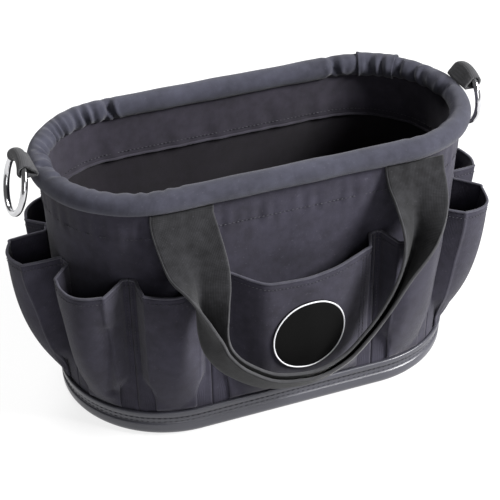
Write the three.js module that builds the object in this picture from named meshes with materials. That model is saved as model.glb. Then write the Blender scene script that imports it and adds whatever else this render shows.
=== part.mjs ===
// Open top tool tote: an oval canvas bucket on a moulded tray, with a padded rim,
// a band of bellows pockets, two webbing handles and a metal ring at each end.
// Millimetres, +Z up, +X along the tote, the front faces -Y.
// The origin is the middle of the tray's underside.

import * as THREE from "three";
import { mergeVertices } from "three/addons/utils/BufferGeometryUtils.js";

// Padded rim
const RIM_LENGTH = 381;
const RIM_WIDTH = 175;
const RIM_TOP = 235.5;
const ROLL_DIAMETER = 19;
const GATHER_PITCH = 14;
const GATHER_DEPTH = 1.1;
const GATHER_FULL = 0.3;
const GATHER_NONE = 0.56;
const GATHER_OUTSIDE = 0.1;

// Moulded tray
const TRAY_LENGTH = 350;
const TRAY_WIDTH = 184;
const TRAY_HEIGHT = 25;
const TRAY_WALL = 2.2;
const TRAY_FLOOR = 3;
const TRAY_EDGE = 8;
const EDGE_BENDS = [0, 32, 61, 90];
const TRAY_CORNER = 1.8;
const GROOVE_HEIGHT = 12.7;
const GROOVE_DEPTH = 0.9;

// Cloth
const WALL_CLOTH = 2;
const POCKET_CLOTH = 1.5;
const FACING_CLOTH = 1.5;
const SLEEVE_CLOTH = 1.2;
const FACING_HEM = 178;
const SLEEVE_LENGTH = 43;
const SLEEVE_INSET = 42.5;

// Pockets: the shares of the wall's perimeter add up to one
const POCKET_HEIGHT = 158;
const POCKET_DEPTH = 30;
const PLEAT_WIDTH = 15;
const PLEAT_EDGE = 1.6;
const PLEAT_LIFT = 3.2;
const PLEAT_START = 0.06;
const SEAM_WIDTH = 5;
const POCKET_ROWS = [0.05, 0.14, 0.32, 0.6, 1];

const CENTRE = { share: 0.166, full: 0.87, dip: 0.07, square: 0.9, belly: 0.16, faceColumns: 5 };
const SIDE = { share: 0.070, full: 0.73, dip: 0.03, square: 0.66, belly: 0.42, faceColumns: 3 };
const CORNER = { share: 0.068, full: 1.0, dip: 0.03, square: 0.72, belly: 0.5, faceColumns: 3 };
const END = { share: 0.058, full: 1.15, dip: 0.02, square: 0.85, belly: 0.5, faceColumns: 3 };

const POCKETS = [
  { name: "pocket_front", form: CENTRE },
  { name: "pocket_front_right", form: SIDE },
  { name: "pocket_corner_front_right", form: CORNER },
  { name: "pocket_right", form: END },
  { name: "pocket_corner_back_right", form: CORNER },
  { name: "pocket_back_right", form: SIDE },
  { name: "pocket_back", form: CENTRE },
  { name: "pocket_back_left", form: SIDE },
  { name: "pocket_corner_back_left", form: CORNER },
  { name: "pocket_left", form: END },
  { name: "pocket_corner_front_left", form: CORNER },
  { name: "pocket_front_left", form: SIDE },
];

// Handles: across is a share of half the leg spacing, rise of the height from grip to strap top,
// out of the way from the wall to clear of the pockets; open and lean are degrees
const WEB_WIDTH = 50.8;
const WEB_CLOTH = 2.5;
const LEG_SPACING = 200;
const HANDLE_SHIFT = 6.9;
const GRIP_HEIGHT = 52.5;
const FOLD_RADIUS = 4;
const HANDLE_CLEARANCE = 1.3;
const HANDLE_STATIONS = 30;

const HANDLE_ROUTE = [
  { across: -1.000, rise: 1.000, out: 0.00, open: 90, lean: 0 },
  { across: -1.000, rise: 0.930, out: 0.10, open: 90, lean: 0 },
  { across: -0.955, rise: 0.720, out: 0.55, open: 72, lean: 4 },
  { across: -0.975, rise: 0.580, out: 0.82, open: 50, lean: 16 },
  { across: -0.985, rise: 0.430, out: 0.95, open: 24, lean: 30 },
  { across: -0.930, rise: 0.300, out: 1.00, open: 10, lean: 33 },
  { across: -0.760, rise: 0.165, out: 1.00, open: 5, lean: 31 },
  { across: -0.450, rise: 0.040, out: 1.00, open: 5, lean: 24 },
  { across: -0.040, rise: 0.000, out: 1.00, open: 5, lean: 20 },
  { across: 0.290, rise: 0.066, out: 1.00, open: 5, lean: 21 },
  { across: 0.540, rise: 0.200, out: 1.00, open: 5, lean: 25 },
  { across: 0.720, rise: 0.345, out: 1.00, open: 9, lean: 25 },
  { across: 0.860, rise: 0.510, out: 0.90, open: 32, lean: 15 },
  { across: 0.945, rise: 0.660, out: 0.66, open: 62, lean: 4 },
  { across: 1.000, rise: 0.930, out: 0.10, open: 90, lean: 0 },
  { across: 1.000, rise: 1.000, out: 0.00, open: 90, lean: 0 },
];

// End rings and the webbing tabs that hold them. Swings are degrees outwards from hanging, the
// tab's length runs from the rim roll to the middle of the wire, and its slant from level.
const RING_RADIUS = 23.6;
const RING_WIRE = 5.4;
const RING_PLAY = 0.6;
const RING_SWINGS = { left: 14.7, right: 0 };
const SWING_RANGE = [-12, 100];
const TAB_WIDTH = 30;
const TAB_CLOTH = 2.2;
const TAB_LENGTH = 13.4;
const TAB_SLANT = 47.3;
const TAB_BANDS = 4;

// Round patch on the front pocket
const PATCH_DIAMETER = 66;
const PATCH_CLOTH = 1.2;
const PATCH_HEIGHT = 91.5;
const PATCH_SHIFT = 3;

// Clearance between neighbouring pieces
const GAP = 0.3;

// Mesh resolution
const END_STEPS = 22;
const STRAIGHT_STEPS = 6;
const ROLL_END_STEPS = 40;
const ROLL_SIDES = 12;
const TAB_SIDES = 10;
const RING_STEPS = 32;
const RING_SIDES = 6;
const PATCH_STEPS = 24;

// Places worked out from the sizes above
const ROLL_RADIUS = ROLL_DIAMETER / 2;
const RIM_HEIGHT = RIM_TOP - ROLL_RADIUS;
const POCKET_OFFSET = WALL_CLOTH / 2 + GAP + POCKET_CLOTH / 2;
const LIP_INSIDE = POCKET_OFFSET + POCKET_CLOTH / 2 + GAP;
const LIP_OUTSIDE = LIP_INSIDE + TRAY_WALL;
const POCKET_FOOT = TRAY_HEIGHT + GAP;
const TOP = { length: RIM_LENGTH / 2 - ROLL_RADIUS, width: RIM_WIDTH / 2 - ROLL_RADIUS };
const BASE = { length: TRAY_LENGTH / 2 - LIP_OUTSIDE, width: TRAY_WIDTH / 2 - LIP_OUTSIDE };

const mix = THREE.MathUtils.lerp;
const smooth = THREE.MathUtils.smoothstep;

// The stadium outline: a point and its outward normal at a share of the perimeter,
// counted from the middle of the front towards +X.
function stadium(share, half) {
  const straight = half.length - half.width;
  const bend = Math.PI * half.width;
  const perimeter = 4 * straight + 2 * bend;
  const whole = share - Math.floor(share);
  const mirrored = whole > 0.5;
  const along = (mirrored ? 1 - whole : whole) * perimeter;
  let point = new THREE.Vector2(along, -half.width);
  let normal = new THREE.Vector2(0, -1);
  if (along > straight + bend) {
    point = new THREE.Vector2(2 * straight + bend - along, half.width);
    normal = new THREE.Vector2(0, 1);
  } else if (along > straight) {
    const angle = (along - straight) / half.width - Math.PI / 2;
    normal = new THREE.Vector2(Math.cos(angle), Math.sin(angle));
    point = new THREE.Vector2(straight, 0).addScaledVector(normal, half.width);
  }
  if (mirrored) {
    point.x = -point.x;
    normal.x = -normal.x;
  }
  return { point, normal };
}

// A point on the canvas wall's middle surface, moved outwards by an offset.
// The wall is ruled between the tray outline and the rim outline.
function wallPoint(share, height, offset) {
  const low = stadium(share, BASE);
  const high = stadium(share, TOP);
  const t = height / RIM_HEIGHT;
  const point = low.point.clone().lerp(high.point, t);
  const normal = low.normal.clone().lerp(high.normal, t).normalize();
  point.addScaledVector(normal, offset);
  return new THREE.Vector3(point.x, point.y, height);
}

// Shares of the perimeter for one turn: few steps on the straights, many round the ends.
function turnShares(endSteps) {
  const bendStart = Math.min(bendShare(BASE), bendShare(TOP));
  const shares = [];
  for (let side = 0; side < 2; side += 1) {
    const middle = side / 2;
    for (let i = 0; i < STRAIGHT_STEPS; i += 1) {
      shares.push(middle + mix(-bendStart, bendStart, i / STRAIGHT_STEPS));
    }
    for (let i = 0; i < endSteps; i += 1) {
      shares.push(middle + mix(bendStart, 0.5 - bendStart, i / endSteps));
    }
  }
  return shares;
}

function bendShare(half) {
  const straight = half.length - half.width;
  return straight / (4 * straight + 2 * Math.PI * half.width);
}

// Turns point grids into closed bodies. A grid is a list of rows, a row a list of points.
class Body {
  constructor() {
    this.corners = [];
  }

  triangle(a, b, c) {
    this.corners.push(a, b, c);
  }

  quad(a, b, c, d) {
    this.triangle(a, b, c);
    this.triangle(a, c, d);
  }

  surface(grid, wrapped, flipped) {
    for (let i = 0; i + 1 < grid.length; i += 1) {
      this.band(grid[i], grid[i + 1], wrapped, flipped);
    }
  }

  band(row, next, wrapped, flipped) {
    const count = wrapped ? row.length : row.length - 1;
    for (let j = 0; j < count; j += 1) {
      const k = (j + 1) % row.length;
      if (flipped) {
        this.quad(row[k], row[j], next[j], next[k]);
      } else {
        this.quad(row[j], row[k], next[k], next[j]);
      }
    }
  }

  fan(row, centre, flipped) {
    this.band(row, row.map(() => centre), true, flipped);
  }

  geometry() {
    const positions = [];
    for (let i = 0; i < this.corners.length; i += 3) {
      const [a, b, c] = this.corners.slice(i, i + 3);
      const area = b.clone().sub(a).cross(c.clone().sub(a)).length();
      if (area > 1e-6) {
        positions.push(...a.toArray(), ...b.toArray(), ...c.toArray());
      }
    }
    const loose = new THREE.BufferGeometry();
    loose.setAttribute("position", new THREE.Float32BufferAttribute(positions, 3));
    const joined = mergeVertices(loose, 1e-4);
    if (signedVolume(joined) < 0) {
      const index = joined.getIndex();
      for (let i = 0; i < index.count; i += 3) {
        const first = index.getX(i);
        index.setX(i, index.getX(i + 1));
        index.setX(i + 1, first);
      }
    }
    joined.computeVertexNormals();
    return joined;
  }
}

function signedVolume(geometry) {
  const position = geometry.getAttribute("position");
  const index = geometry.getIndex();
  const [a, b, c] = [new THREE.Vector3(), new THREE.Vector3(), new THREE.Vector3()];
  let volume = 0;
  for (let i = 0; i < index.count; i += 3) {
    a.fromBufferAttribute(position, index.getX(i));
    b.fromBufferAttribute(position, index.getX(i + 1));
    c.fromBufferAttribute(position, index.getX(i + 2));
    volume += a.dot(b.cross(c)) / 6;
  }
  return volume;
}

// A sheet with thickness: two matching grids joined along their borders.
function sheetGeometry(front, back, wrapped) {
  const body = new Body();
  const last = front.length - 1;
  body.surface(front, wrapped, false);
  body.surface(back, wrapped, true);
  body.band(back[0], front[0], wrapped, false);
  body.band(front[last], back[last], wrapped, false);
  if (!wrapped) {
    const end = front[0].length - 1;
    body.band(front.map((row) => row[0]), back.map((row) => row[0]), false, false);
    body.band(back.map((row) => row[end]), front.map((row) => row[end]), false, false);
  }
  return body.geometry();
}

// A closed ring of closed sections.
function loopGeometry(sections) {
  const body = new Body();
  body.surface([...sections, sections[0]], true, false);
  return body.geometry();
}

function fabric(color, roughness) {
  return new THREE.MeshStandardMaterial({ color, roughness, metalness: 0 });
}

const canvas = fabric(0x35343f, 0.9);
const rimCanvas = fabric(0x4a4a56, 0.85);
const facingCanvas = fabric(0x2e2d38, 0.95);
const webbing = fabric(0x3d3d40, 0.8);
const trayPlastic = fabric(0x3a3a42, 0.4);
const patchCloth = fabric(0x141414, 0.7);
const ringMetal = new THREE.MeshStandardMaterial({ color: 0xd8d8da, roughness: 0.15, metalness: 1 });

const tote = new THREE.Group();

function addPiece(name, geometry, material) {
  const mesh = new THREE.Mesh(geometry, material);
  mesh.name = name;
  tote.add(mesh);
  return mesh;
}

// Moulded tray: a floor with a round bottom edge, a groove and an upstanding lip.
function trayGeometry() {
  const shares = turnShares(END_STEPS);
  const row = (offset, height) => shares.map((share) => wallPoint(share, height, offset));
  const bend = (degrees) => {
    const angle = THREE.MathUtils.degToRad(degrees);
    const inset = LIP_OUTSIDE - TRAY_EDGE * (1 - Math.cos(angle));
    return row(inset, TRAY_EDGE * (1 - Math.sin(angle)));
  };
  const groove = LIP_OUTSIDE - GROOVE_DEPTH;
  const outside = [
    row(LIP_OUTSIDE, TRAY_HEIGHT),
    row(LIP_OUTSIDE, GROOVE_HEIGHT + GROOVE_DEPTH),
    row(groove, GROOVE_HEIGHT),
    row(LIP_OUTSIDE, GROOVE_HEIGHT - GROOVE_DEPTH),
    ...EDGE_BENDS.map(bend),
  ];
  const inside = [
    row(LIP_INSIDE, TRAY_HEIGHT),
    row(LIP_INSIDE, TRAY_FLOOR + TRAY_CORNER),
    row(LIP_INSIDE - TRAY_CORNER, TRAY_FLOOR),
  ];
  const body = new Body();
  body.surface(outside, true, false);
  body.surface(inside, true, true);
  body.band(inside[0], outside[0], true, false);
  body.fan(outside[outside.length - 1], new THREE.Vector3(0, 0, 0), false);
  body.fan(inside[inside.length - 1], new THREE.Vector3(0, 0, TRAY_FLOOR), true);
  return body.geometry();
}

// A band of cloth round the bag, between two heights and two offsets.
function clothBand(heights, inner, outer) {
  const shares = turnShares(END_STEPS);
  const grid = (offset) => heights.map((height) => shares.map((share) => wallPoint(share, height, offset)));
  return sheetGeometry(grid(outer), grid(inner), true);
}

// Padded rim: a roll whose cover is gathered round the ends.
function rimRadius(share, angle) {
  const fromEnd = Math.abs(((share * 2) % 1) - 0.5) / 0.5;
  const length = share * perimeterOf(TOP);
  const nearEnd = 1 - smooth(fromEnd, GATHER_FULL, GATHER_NONE);
  const wave = Math.sin((2 * Math.PI * length) / GATHER_PITCH);
  const towardsInside = mix(GATHER_OUTSIDE, 1, (1 - Math.cos(angle)) / 2);
  const gather = GATHER_DEPTH * nearEnd * wave * towardsInside;
  return ROLL_RADIUS - GATHER_DEPTH * nearEnd * towardsInside + gather;
}

function perimeterOf(half) {
  return 4 * (half.length - half.width) + 2 * Math.PI * half.width;
}

function rimSection(share, grow) {
  const { point, normal } = stadium(share, TOP);
  const section = [];
  for (let i = 0; i < ROLL_SIDES; i += 1) {
    const angle = (2 * Math.PI * i) / ROLL_SIDES;
    const radius = rimRadius(share, angle) + grow;
    const across = point.clone().addScaledVector(normal, radius * Math.cos(angle));
    section.push(new THREE.Vector3(across.x, across.y, RIM_HEIGHT + radius * Math.sin(angle)));
  }
  return section;
}

// The overlapping end of the rim's cover, wrapped over the roll at the back right.
// Its rows lie on the roll's own facets.
function sleeveGeometry() {
  const perimeter = perimeterOf(TOP);
  const middle = 0.5 - sleeveAlong() / perimeter;
  const start = middle - SLEEVE_LENGTH / 2 / perimeter;
  const end = middle + SLEEVE_LENGTH / 2 / perimeter;
  const shares = turnShares(ROLL_END_STEPS).filter((share) => share > start && share < end);
  const underside = Math.round(ROLL_SIDES * 0.75);
  const wrapped = (grow) => [start, ...shares, end].map((share) => {
    const section = facetSection(share, grow);
    return [...section.slice(underside + 1), ...section.slice(0, underside)];
  });
  const under = GAP / Math.cos(Math.PI / ROLL_SIDES);
  return sheetGeometry(wrapped(under + SLEEVE_CLOTH), wrapped(under), false);
}

// How far along the rim the sleeve's middle lies from the middle of the back.
function sleeveAlong() {
  const straight = TOP.length - TOP.width;
  const place = RIM_LENGTH / 2 - SLEEVE_INSET;
  return straight + TOP.width * Math.asin((place - straight) / TOP.width);
}

function facetSection(share, grow) {
  const shares = turnShares(ROLL_END_STEPS);
  const after = shares.findIndex((value) => value > share);
  const [low, high] = [shares[after - 1], shares[after]];
  const before = rimSection(low, grow);
  const next = rimSection(high, grow);
  return before.map((point, i) => point.lerp(next[i], (share - low) / (high - low)));
}

// Bellows pocket: how far the cloth stands off its seat, across the pocket and up it.
function pocketBulge(form, distance, width, height) {
  const rise = THREE.MathUtils.clamp((height - POCKET_FOOT) / (POCKET_HEIGHT - POCKET_FOOT), 0, 1);
  const belly = 1 - (1 - rise) ** (1 / form.belly);
  const full = form.full * POCKET_DEPTH * belly;
  const lift = PLEAT_LIFT * smooth(rise, 0, PLEAT_START);
  if (distance < PLEAT_WIDTH) {
    const gusset = Math.max(0, distance - SEAM_WIDTH) / (PLEAT_WIDTH - SEAM_WIDTH);
    const pleat = distance > PLEAT_WIDTH - PLEAT_EDGE ? lift : 0;
    return Math.max(pleat, full * form.square * gusset);
  }
  const across = (distance - PLEAT_WIDTH) / (width / 2 - PLEAT_WIDTH);
  const face = mix(form.square, 1, Math.sin((across * Math.PI) / 2));
  return Math.max(lift, full * face);
}

function pocketTop(form, distance, width) {
  const across = Math.min(1, distance / (width / 2));
  return POCKET_HEIGHT * (1 - form.dip * Math.sin((across * Math.PI) / 2));
}

function pocketPoint(pocket, along, height, shift) {
  const distance = Math.min(along, pocket.width - along);
  const offset = POCKET_OFFSET + pocketBulge(pocket.form, distance, pocket.width, height);
  const share = pocket.start + (along / pocket.width) * pocket.form.share;
  return wallPoint(share, height, offset + shift);
}

function pocketColumns(pocket) {
  const edge = [GAP / 2, SEAM_WIDTH, PLEAT_WIDTH - PLEAT_EDGE, PLEAT_WIDTH];
  const face = [];
  for (let i = 1; i <= pocket.form.faceColumns; i += 1) {
    const part = i / (pocket.form.faceColumns + 1);
    face.push(mix(PLEAT_WIDTH, pocket.width - PLEAT_WIDTH, part));
  }
  const mirrored = edge.map((value) => pocket.width - value).reverse();
  return [...edge, ...face, ...mirrored];
}

function pocketGeometry(pocket) {
  const columns = pocketColumns(pocket);
  const tops = columns.map((along) => {
    return pocketTop(pocket.form, Math.min(along, pocket.width - along), pocket.width);
  });
  const low = [TRAY_FLOOR + TRAY_CORNER + GAP, POCKET_FOOT];
  const grid = (shift) => {
    const rows = low.map((height) => columns.map((along) => pocketPoint(pocket, along, height, shift)));
    for (const part of POCKET_ROWS) {
      rows.push(columns.map((along, i) => {
        return pocketPoint(pocket, along, mix(POCKET_FOOT, tops[i], part), shift);
      }));
    }
    return rows;
  };
  return sheetGeometry(grid(POCKET_CLOTH / 2), grid(-POCKET_CLOTH / 2), false);
}

// The pockets in order round the bag, each with its start share and its width along the wall.
function layOutPockets() {
  const perimeter = perimeterOf(BASE);
  let start = -POCKETS[0].form.share / 2;
  return POCKETS.map(({ name, form }) => {
    const pocket = { name, form, start, width: form.share * perimeter };
    start += form.share;
    return pocket;
  });
}

// Handle: webbing flat at the legs and folded lengthwise at the grip, with its mouth outwards.
const STRAP_TOP = RIM_HEIGHT - ROLL_RADIUS;
const SEAT = WALL_CLOTH / 2 + GAP + WEB_CLOTH / 2;
const CLEAR = POCKET_OFFSET + POCKET_CLOTH / 2 + CENTRE.full * POCKET_DEPTH + HANDLE_CLEARANCE + WEB_CLOTH / 2;

function handleGrid(side) {
  const route = HANDLE_ROUTE.map((row) => {
    const height = mix(GRIP_HEIGHT, STRAP_TOP, row.rise);
    const wall = mix(BASE.width, TOP.width, height / RIM_HEIGHT);
    const x = HANDLE_SHIFT + (row.across * LEG_SPACING) / 2;
    return new THREE.Vector3(x, side * (wall + mix(SEAT, CLEAR, row.out)), height);
  });
  const shape = HANDLE_ROUTE.map((row) => new THREE.Vector3(row.open, row.lean, 0));
  const path = new THREE.CatmullRomCurve3(route, false, "catmullrom", 0.5);
  const turn = new THREE.CatmullRomCurve3(shape, false, "catmullrom", 0.5);
  const outer = [];
  const inner = [];
  for (let i = 0; i <= HANDLE_STATIONS; i += 1) {
    const t = i / HANDLE_STATIONS;
    const along = path.getTangent(t);
    const bend = turn.getPoint(t);
    const section = handleSection(path.getPoint(t), along, bend.x, bend.y, side);
    outer.push(section.outer);
    inner.push(section.inner);
  }
  return { outer, inner };
}

// One cross section: two halves that spread from the fold line by the open angle.
function handleSection(place, along, openDegrees, leanDegrees, side) {
  const open = THREE.MathUtils.degToRad(openDegrees);
  const lean = THREE.MathUtils.degToRad(leanDegrees);
  const outwards = new THREE.Vector3(0, side, 0);
  const inwards = new THREE.Vector3(-along.z, 0, along.x).normalize();
  const level = outwards.clone().addScaledVector(along, -outwards.dot(along)).normalize();
  const mouth = level.multiplyScalar(Math.cos(lean)).addScaledVector(inwards, Math.sin(lean));
  const spread = new THREE.Vector3().crossVectors(along, mouth).normalize();
  const near = (open + Math.PI / 2) / 2;
  const rest = (WEB_WIDTH / 2 - FOLD_RADIUS) / 2;
  const steps = [[FOLD_RADIUS, near], [rest, open], [rest, open]];
  const halves = [-1, 1].map((hand) => {
    const points = [place.clone()];
    for (const [length, angle] of steps) {
      const direction = mouth.clone().multiplyScalar(Math.cos(angle));
      direction.addScaledVector(spread, hand * Math.sin(angle));
      points.push(points[points.length - 1].clone().addScaledVector(direction, length));
    }
    return points;
  });
  const middle = [...halves[0].slice(1).reverse(), ...halves[1]];
  const offset = (amount) => middle.map((point, i) => {
    const before = middle[Math.max(0, i - 1)];
    const after = middle[Math.min(middle.length - 1, i + 1)];
    const run = after.clone().sub(before).normalize();
    return point.clone().addScaledVector(new THREE.Vector3().crossVectors(run, along).normalize(), amount);
  });
  return { outer: offset(WEB_CLOTH / 2), inner: offset(-WEB_CLOTH / 2) };
}

// Where the top of each ring's wire lies in its tab, out from the rim roll
const SLANT = THREE.MathUtils.degToRad(TAB_SLANT);
const RING_PLACE = {
  x: TOP.length + (ROLL_RADIUS + TAB_LENGTH) * Math.cos(SLANT),
  z: RIM_HEIGHT + (ROLL_RADIUS + TAB_LENGTH) * Math.sin(SLANT),
};

// The direction of a swing: 0 hangs down and a quarter turn points outwards.
function swingDirection(angle) {
  return new THREE.Vector2(Math.sin(angle), -Math.cos(angle));
}

// Ring tab: webbing looped round the wire, with both its ends sewn down on the roll.
// The loop widens towards its mouths, because the ring's wire bends away there as it swings.
function tabGeometry(side) {
  const [low, high] = SWING_RANGE.map(THREE.MathUtils.degToRad);
  const foot = new THREE.Vector2(-Math.cos(SLANT), -Math.sin(SLANT));
  foot.multiplyScalar(TAB_LENGTH - TAB_CLOTH - GAP);
  const outlinePoint = (y, angle, cloth) => {
    const slope = Math.asin(Math.abs(y) / RING_RADIUS);
    const wire = RING_WIRE / 2 / Math.cos(slope) + RING_PLAY;
    const towards = swingDirection(angle);
    const fromMiddle = Math.atan2(Math.sin(angle - (low + high) / 2), Math.cos(angle - (low + high) / 2));
    const reach = (high - low) / 2;
    const swing = (low + high) / 2 + THREE.MathUtils.clamp(fromMiddle, -reach, reach);
    const point = swingDirection(swing).multiplyScalar(RING_RADIUS * (1 - Math.cos(slope)));
    point.addScaledVector(towards, wire / Math.cos(Math.PI / TAB_SIDES) + cloth);
    const sewn = foot.clone().addScaledVector(towards, cloth);
    return cloth > 0 && sewn.dot(towards) > point.dot(towards) ? sewn : point;
  };
  const outline = (y, cloth) => {
    const points = [];
    for (let i = 0; i < TAB_SIDES; i += 1) {
      const point = outlinePoint(y, (2 * Math.PI * i) / TAB_SIDES, cloth);
      points.push(new THREE.Vector3(side * (RING_PLACE.x + point.x), y, RING_PLACE.z + point.y));
    }
    return points;
  };
  const places = [];
  for (let i = 0; i <= TAB_BANDS; i += 1) {
    places.push(mix(-TAB_WIDTH / 2, TAB_WIDTH / 2, i / TAB_BANDS));
  }
  return sheetGeometry(
    places.map((y) => outline(y, TAB_CLOTH)),
    places.map((y) => outline(y, 0)),
    true,
  );
}

// Round metal ring, which hangs by the top of its wire.
function addRing(name, side, swing) {
  const geometry = new THREE.TorusGeometry(RING_RADIUS, RING_WIRE / 2, RING_SIDES, RING_STEPS);
  geometry.rotateY(Math.PI / 2);
  geometry.translate(0, 0, -RING_RADIUS);
  const ring = addPiece(name, cleaned(geometry), ringMetal);
  ring.rotation.y = -side * THREE.MathUtils.degToRad(swing);
  ring.position.set(side * RING_PLACE.x, 0, RING_PLACE.z);
}

function cleaned(geometry) {
  geometry.deleteAttribute("uv");
  geometry.deleteAttribute("normal");
  const joined = mergeVertices(geometry, 1e-4);
  joined.computeVertexNormals();
  return joined;
}

// Round patch, lying on the face of the front pocket.
function patchGeometry(pocket) {
  const spot = (radius, angle, shift) => {
    const along = pocket.width / 2 + PATCH_SHIFT + radius * Math.cos(angle);
    const height = PATCH_HEIGHT + radius * Math.sin(angle);
    return pocketPoint(pocket, along, height, POCKET_CLOTH / 2 + shift);
  };
  const rings = (shift) => [0.5, 1].map((part) => {
    const points = [];
    for (let i = 0; i < PATCH_STEPS; i += 1) {
      points.push(spot((part * PATCH_DIAMETER) / 2, (2 * Math.PI * i) / PATCH_STEPS, shift));
    }
    return points;
  });
  const front = rings(GAP + PATCH_CLOTH);
  const back = rings(GAP);
  const body = new Body();
  body.surface(front, true, false);
  body.surface(back, true, true);
  body.band(front[1], back[1], true, false);
  body.fan(front[0], spot(0, 0, GAP + PATCH_CLOTH), true);
  body.fan(back[0], spot(0, 0, GAP), false);
  return body.geometry();
}

// Assembly
addPiece("base_tray", trayGeometry(), trayPlastic);

const wallTop = RIM_HEIGHT - ROLL_RADIUS - GAP;
const wallHeights = [TRAY_FLOOR + GAP, TRAY_HEIGHT, POCKET_HEIGHT, wallTop];
addPiece("body_wall", clothBand(wallHeights, -WALL_CLOTH / 2, WALL_CLOTH / 2), canvas);

const facingOutside = -WALL_CLOTH / 2 - GAP;
const facingGeometry = clothBand([FACING_HEM, wallTop], facingOutside - FACING_CLOTH, facingOutside);
addPiece("inner_facing", facingGeometry, facingCanvas);

addPiece("rim_roll", loopGeometry(turnShares(ROLL_END_STEPS).map((share) => rimSection(share, 0))), rimCanvas);
addPiece("rim_seam_sleeve", sleeveGeometry(), rimCanvas);

for (const pocket of layOutPockets()) {
  addPiece(pocket.name, pocketGeometry(pocket), canvas);
  if (pocket.name === "pocket_front") {
    addPiece("round_patch", patchGeometry(pocket), patchCloth);
  }
}

for (const [name, side] of [["handle_front", -1], ["handle_back", 1]]) {
  const { outer, inner } = handleGrid(side);
  addPiece(name, sheetGeometry(outer, inner, false), webbing);
}

for (const [name, side] of [["left", -1], ["right", 1]]) {
  addPiece(`ring_tab_${name}`, tabGeometry(side), webbing);
  addRing(`end_ring_${name}`, side, RING_SWINGS[name]);
}

export default tote;
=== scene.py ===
# %% [markdown]
# # An open top tool tote
#
# The tote is an oval canvas bucket on a moulded tray. A padded roll stiffens its rim, twelve
# bellows pockets run round it, two webbing handles hang at its sides, and a metal ring hangs
# at each end. The rigid frame of the part comes first. Its solids have the right sizes, and
# this lesson replaces them one by one with cloth, webbing, plastic and metal that has folds,
# hems and stitches. All lengths are in metres, +Z is up and the front faces -Y.

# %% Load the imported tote
import math
from functools import partial

import bpy
import numpy as np
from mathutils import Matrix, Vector


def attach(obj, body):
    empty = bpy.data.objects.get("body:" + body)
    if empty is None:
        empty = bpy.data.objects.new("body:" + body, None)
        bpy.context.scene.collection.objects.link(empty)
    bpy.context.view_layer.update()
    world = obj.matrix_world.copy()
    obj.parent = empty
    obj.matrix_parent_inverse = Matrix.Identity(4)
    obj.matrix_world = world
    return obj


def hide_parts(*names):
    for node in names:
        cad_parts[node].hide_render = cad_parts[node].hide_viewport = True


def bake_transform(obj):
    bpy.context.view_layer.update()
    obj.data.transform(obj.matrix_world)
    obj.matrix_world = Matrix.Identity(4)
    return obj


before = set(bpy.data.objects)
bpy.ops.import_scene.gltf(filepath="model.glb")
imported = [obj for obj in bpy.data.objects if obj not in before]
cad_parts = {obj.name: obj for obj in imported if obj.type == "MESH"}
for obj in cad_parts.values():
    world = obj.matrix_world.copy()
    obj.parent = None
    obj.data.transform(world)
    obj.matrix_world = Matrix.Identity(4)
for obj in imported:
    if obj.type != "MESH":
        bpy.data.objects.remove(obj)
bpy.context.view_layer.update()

# %% [markdown]
# ## The camera
#
# A long lens from the front left, well above the rim, gives nearly parallel edges and a look
# into the tote. The camera stands first, because everything after it is judged through it.

# %% Place the camera
CAMERA_PLACE = Vector((-0.4179, -1.0250, 0.8553))
CAMERA_TARGET = Vector((-0.0038, 0.0, 0.1068))


def new_object(name, data):
    """An object with this data, linked to the scene."""
    made = bpy.data.objects.new(name, data)
    bpy.context.scene.collection.objects.link(made)
    return made


camera = new_object("camera", bpy.data.cameras.new("camera"))
camera.data.lens = 111.0
camera.data.sensor_width = 36.0
camera.location = CAMERA_PLACE
camera.rotation_euler = (CAMERA_TARGET - CAMERA_PLACE).to_track_quat("-Z", "Y").to_euler()
bpy.context.scene.camera = camera

# %% [markdown]
# ## The bucket's wall as a ruled surface
#
# Every cloth piece of the tote lies on, or stands off, the same wall. Its outline is a
# stadium: two straights and two half circles. The tray's outline and the rim's outline
# differ a little, and the wall is ruled between them. So one function that turns a share of
# the perimeter, a height and a stand-off into a point is enough to lay out the whole bag.

# %% Measure the wall
RIM_LENGTH, RIM_WIDTH, RIM_TOP, ROLL_RADIUS = 0.381, 0.175, 0.2355, 0.0095
TRAY_LENGTH, TRAY_WIDTH, TRAY_HEIGHT = 0.350, 0.184, 0.025
WALL_CLOTH, POCKET_CLOTH, FACING_CLOTH, GAP = 0.002, 0.0015, 0.0015, 0.0003
RIM_HEIGHT = RIM_TOP - ROLL_RADIUS
POCKET_OFFSET = WALL_CLOTH / 2 + GAP + POCKET_CLOTH / 2
LIP_INSIDE = POCKET_OFFSET + POCKET_CLOTH / 2 + GAP
LIP_OUTSIDE = LIP_INSIDE + 0.0022
# Half length and half width of the wall's outline, under the rim and at the tray.
TOP = (RIM_LENGTH / 2 - ROLL_RADIUS, RIM_WIDTH / 2 - ROLL_RADIUS)
BASE = (TRAY_LENGTH / 2 - LIP_OUTSIDE, TRAY_WIDTH / 2 - LIP_OUTSIDE)


def perimeter_of(half):
    """How long the stadium with these half sizes is all the way round."""
    return 4 * (half[0] - half[1]) + 2 * math.pi * half[1]


def outline(share, half):
    """Points and outward normals of the stadium, counted from the middle of the front to +X."""
    straight = half[0] - half[1]
    bend = math.pi * half[1]
    whole = np.mod(share, 1.0)
    mirrored = whole > 0.5
    along = np.where(mirrored, 1.0 - whole, whole) * perimeter_of(half)
    angle = np.clip((along - straight) / half[1], 0.0, math.pi) - math.pi / 2
    base = np.where(along > straight + bend, 2 * straight + bend - along, np.minimum(along, straight))
    side = np.where(mirrored, -1.0, 1.0)
    points = np.stack([side * (base + half[1] * np.cos(angle)), half[1] * np.sin(angle)], -1)
    normals = np.stack([side * np.cos(angle), np.sin(angle)], -1)
    return points, normals


def unit(vectors):
    return vectors / np.linalg.norm(vectors, axis=-1, keepdims=True)


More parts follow.
